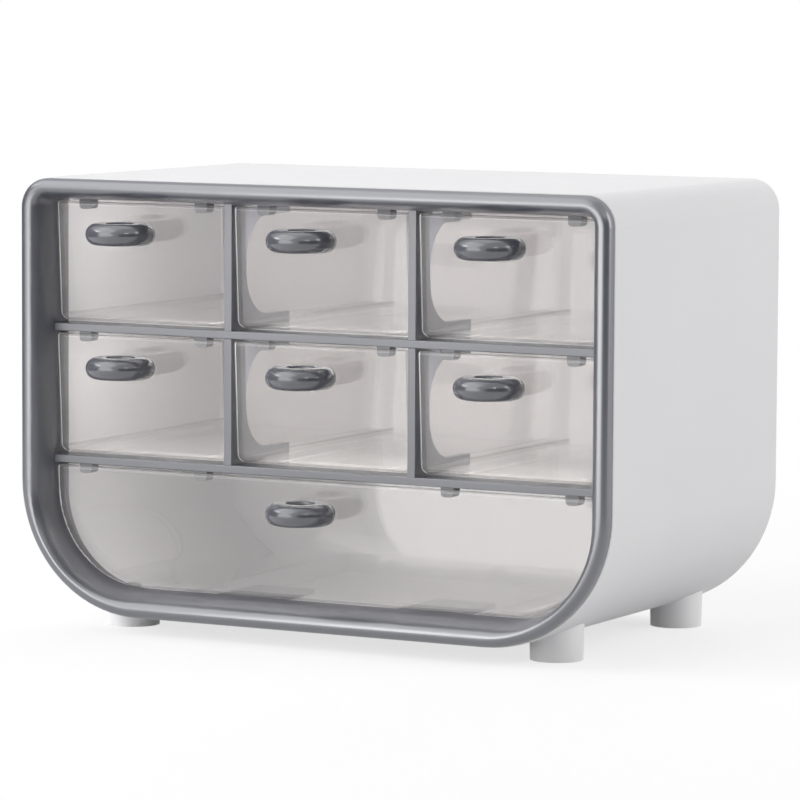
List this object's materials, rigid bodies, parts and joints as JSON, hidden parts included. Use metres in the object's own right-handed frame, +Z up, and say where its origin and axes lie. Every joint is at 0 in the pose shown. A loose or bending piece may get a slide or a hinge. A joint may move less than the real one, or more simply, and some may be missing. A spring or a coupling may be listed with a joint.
{
  "type": "desktop drawer organizer",
  "caption": "Rounded desktop organizer case with a grey front frame, small clear drawers above one wide drawer, ring handles and round feet.",
  "frame": {"origin": "middle of the footprint, handles included, on the desk", "axes": "+X to the right along the width, +Y from the drawer fronts to the back, +Z up"},
  "size_m": [0.28, 0.18, 0.1933],
  "materials": {
    "shell_plastic": "semi-gloss",
    "foot_plastic": "satin",
    "frame_plastic": "glossy",
    "handle_plastic": "glossy",
    "drawer_plastic": "clear, glossy",
    "deck_plastic": "matte",
    "screw_steel": "satin",
    "pad_rubber": "matte"
  },
  "bodies": {
    "case": {"case_shell": "shell_plastic", "front_frame": "frame_plastic", "upper_shelf": "frame_plastic", "lower_shelf": "frame_plastic", "upper_deck": "deck_plastic", "lower_deck": "deck_plastic", "divider_upper_left": "frame_plastic", "divider_upper_right": "frame_plastic", "divider_middle_left": "frame_plastic", "divider_middle_right": "frame_plastic", "foot_front_left": "foot_plastic", "foot_front_right": "foot_plastic", "foot_rear_left": "foot_plastic", "foot_rear_right": "foot_plastic", "foot_screws": "screw_steel", "foot_pads": "pad_rubber"},
    "upper_left_drawer_body": {"drawer_upper_left": "drawer_plastic", "handle_upper_left": "handle_plastic", "handle_screw_upper_left": "screw_steel"},
    "upper_centre_drawer_body": {"drawer_upper_centre": "drawer_plastic", "handle_upper_centre": "handle_plastic", "handle_screw_upper_centre": "screw_steel"},
    "upper_right_drawer_body": {"drawer_upper_right": "drawer_plastic", "handle_upper_right": "handle_plastic", "handle_screw_upper_right": "screw_steel"},
    "middle_left_drawer_body": {"drawer_middle_left": "drawer_plastic", "handle_middle_left": "handle_plastic", "handle_screw_middle_left": "screw_steel"},
    "middle_centre_drawer_body": {"drawer_middle_centre": "drawer_plastic", "handle_middle_centre": "handle_plastic", "handle_screw_middle_centre": "screw_steel"},
    "middle_right_drawer_body": {"drawer_middle_right": "drawer_plastic", "handle_middle_right": "handle_plastic", "handle_screw_middle_right": "screw_steel"},
    "wide_drawer_body": {"drawer_wide": "drawer_plastic", "handle_wide": "handle_plastic", "handle_screw_wide": "screw_steel"}
  },
  "joints": [
    {"name": "upper_left_drawer_slide", "type": "slide", "parent": "case", "child": "upper_left_drawer_body", "axis": [0, -1, 0], "range_m": [0, 0.132]},
    {"name": "upper_centre_drawer_slide", "type": "slide", "parent": "case", "child": "upper_centre_drawer_body", "axis": [0, -1, 0], "range_m": [0, 0.132]},
    {"name": "upper_right_drawer_slide", "type": "slide", "parent": "case", "child": "upper_right_drawer_body", "axis": [0, -1, 0], "range_m": [0, 0.132]},
    {"name": "middle_left_drawer_slide", "type": "slide", "parent": "case", "child": "middle_left_drawer_body", "axis": [0, -1, 0], "range_m": [0, 0.132]},
    {"name": "middle_centre_drawer_slide", "type": "slide", "parent": "case", "child": "middle_centre_drawer_body", "axis": [0, -1, 0], "range_m": [0, 0.132]},
    {"name": "middle_right_drawer_slide", "type": "slide", "parent": "case", "child": "middle_right_drawer_body", "axis": [0, -1, 0], "range_m": [0, 0.132]},
    {"name": "wide_drawer_slide", "type": "slide", "parent": "case", "child": "wide_drawer_body", "axis": [0, -1, 0], "range_m": [0, 0.132]}
  ]
}
